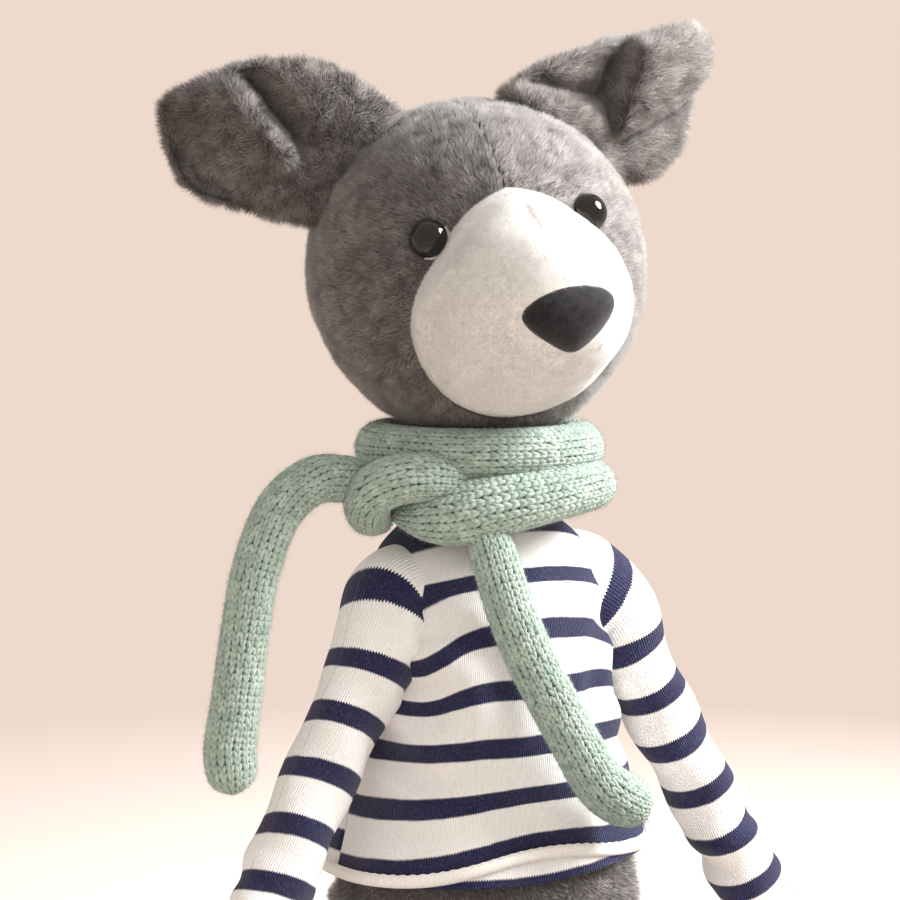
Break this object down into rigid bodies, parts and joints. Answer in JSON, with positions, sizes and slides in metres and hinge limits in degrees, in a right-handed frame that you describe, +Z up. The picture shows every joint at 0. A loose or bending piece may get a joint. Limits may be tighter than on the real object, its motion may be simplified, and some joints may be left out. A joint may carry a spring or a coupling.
{
  "type": "plush dog",
  "caption": "Seated stuffed toy dog with soft hinged limbs, folded ears, a long-sleeved striped top and a knotted knitted scarf.",
  "frame": {"origin": "middle of the flat seat panel that the dog sits on", "axes": "+Z up through the head, the dog faces -Y, its right side is -X"},
  "size_m": [0.2153, 0.2565, 0.3014],
  "materials": {
    "grey_plush": "short brushed pile",
    "ear_plush": "longer brushed pile",
    "white_plush": "very short soft pile",
    "nose_velour": "velour",
    "eye_plastic": "glossy black",
    "washer_plastic": "moulded",
    "striped_jersey": "fine jersey, white with navy stripes",
    "white_binding": "double jersey, stitched",
    "knitted_yarn": "mint-green stocking-stitch knit",
    "fibre_stuffing": "loose polyester fibre",
    "pellets": "small beads in a bag"
  },
  "bodies": {
    "torso": {"torso_skin_front": "grey_plush", "torso_skin_back": "grey_plush", "base_panel": "grey_plush", "torso_stuffing": "fibre_stuffing", "bean_bag": "pellets", "shirt_front": "striped_jersey", "shirt_back": "striped_jersey", "shirt_hem": "white_binding", "shirt_neck_binding": "white_binding", "shirt_fastener": "striped_jersey", "care_label": "white_binding", "scarf_wrap": "knitted_yarn", "scarf_knot": "knitted_yarn"},
    "neck": {"neck_skin": "grey_plush", "neck_stuffing": "fibre_stuffing"},
    "head": {"head_skin_right": "grey_plush", "head_skin_left": "grey_plush", "head_stuffing": "fibre_stuffing", "muzzle_skin_right": "white_plush", "muzzle_skin_left": "white_plush", "nose_pad": "nose_velour", "eye_right": "eye_plastic", "eye_left": "eye_plastic", "eye_washer_right": "washer_plastic", "eye_washer_left": "washer_plastic"},
    "ear_right": {"ear_front_right": "ear_plush", "ear_back_right": "ear_plush"},
    "ear_left": {"ear_front_left": "ear_plush", "ear_back_left": "ear_plush"},
    "arm_right": {"arm_skin_right": "grey_plush", "arm_stuffing_right": "fibre_stuffing", "sleeve_right": "striped_jersey", "cuff_right": "white_binding"},
    "arm_left": {"arm_skin_left": "grey_plush", "arm_stuffing_left": "fibre_stuffing", "sleeve_left": "striped_jersey", "cuff_left": "white_binding"},
    "leg_right": {"leg_skin_right": "grey_plush", "leg_stuffing_right": "fibre_stuffing", "foot_right": "grey_plush"},
    "leg_left": {"leg_skin_left": "grey_plush", "leg_stuffing_left": "fibre_stuffing", "foot_left": "grey_plush"},
    "tail": {"tail_skin": "grey_plush", "tail_stuffing": "fibre_stuffing"},
    "scarf_side": {"scarf_end_side": "knitted_yarn"},
    "scarf_front": {"scarf_end_front": "knitted_yarn"}
  },
  "joints": [
    {"name": "head_turn", "type": "hinge", "parent": "torso", "child": "neck", "pos_m": [-0.005, 0, 0.2214], "axis": [0, 0, 1], "range_deg": [-40, 40], "stiffness_Nm_per_rad": 0.3},
    {"name": "head_nod", "type": "hinge", "parent": "neck", "child": "head", "pos_m": [-0.005, 0, 0.2214], "axis": [0.9694, -0.2453, 0], "range_deg": [-20, 10], "stiffness_Nm_per_rad": 0.8},
    {"name": "ear_fold_right", "type": "hinge", "parent": "head", "child": "ear_right", "pos_m": [-0.0453, 0.01202, 0.25378], "axis": [0.5561, -0.2611, 0.789], "range_deg": [-25, 25], "stiffness_Nm_per_rad": 0.06},
    {"name": "ear_fold_left", "type": "hinge", "parent": "head", "child": "ear_left", "pos_m": [0.02593, -0.006, 0.26411], "axis": [-0.8016, 0.0824, 0.5922], "range_deg": [-25, 25], "stiffness_Nm_per_rad": 0.06},
    {"name": "arm_swing_right", "type": "hinge", "parent": "torso", "child": "arm_right", "pos_m": [-0.04458, -0.0055, 0.114], "axis": [1, 0, 0], "range_deg": [-100, 35], "stiffness_Nm_per_rad": 0.05},
    {"name": "arm_swing_left", "type": "hinge", "parent": "torso", "child": "arm_left", "pos_m": [0.03942, -0.0055, 0.114], "axis": [1, 0, 0], "range_deg": [-100, 35], "stiffness_Nm_per_rad": 0.05},
    {"name": "leg_swing_right", "type": "hinge", "parent": "torso", "child": "leg_right", "pos_m": [-0.027, -0.054, 0.017], "axis": [1, 0, 0], "range_deg": [-30, 80], "stiffness_Nm_per_rad": 0.6},
    {"name": "leg_swing_left", "type": "hinge", "parent": "torso", "child": "leg_left", "pos_m": [0.027, -0.054, 0.017], "axis": [1, 0, 0], "range_deg": [-30, 80], "stiffness_Nm_per_rad": 0.6},
    {"name": "tail_wag", "type": "hinge", "parent": "torso", "child": "tail", "pos_m": [0, 0.0505, 0.017], "axis": [0, 0, 1], "range_deg": [-35, 35], "stiffness_Nm_per_rad": 0.03},
    {"name": "scarf_side_swing", "type": "hinge", "parent": "torso", "child": "scarf_side", "pos_m": [-0.0545, -0.009, 0.1615], "axis": [1, 0, 0], "range_deg": [-30, 30], "stiffness_Nm_per_rad": 0.01},
    {"name": "scarf_front_swing", "type": "hinge", "parent": "torso", "child": "scarf_front", "pos_m": [-0.0195, -0.037, 0.1345], "axis": [-1, 0, 0], "range_deg": [0, 60], "stiffness_Nm_per_rad": 0.01}
  ]
}
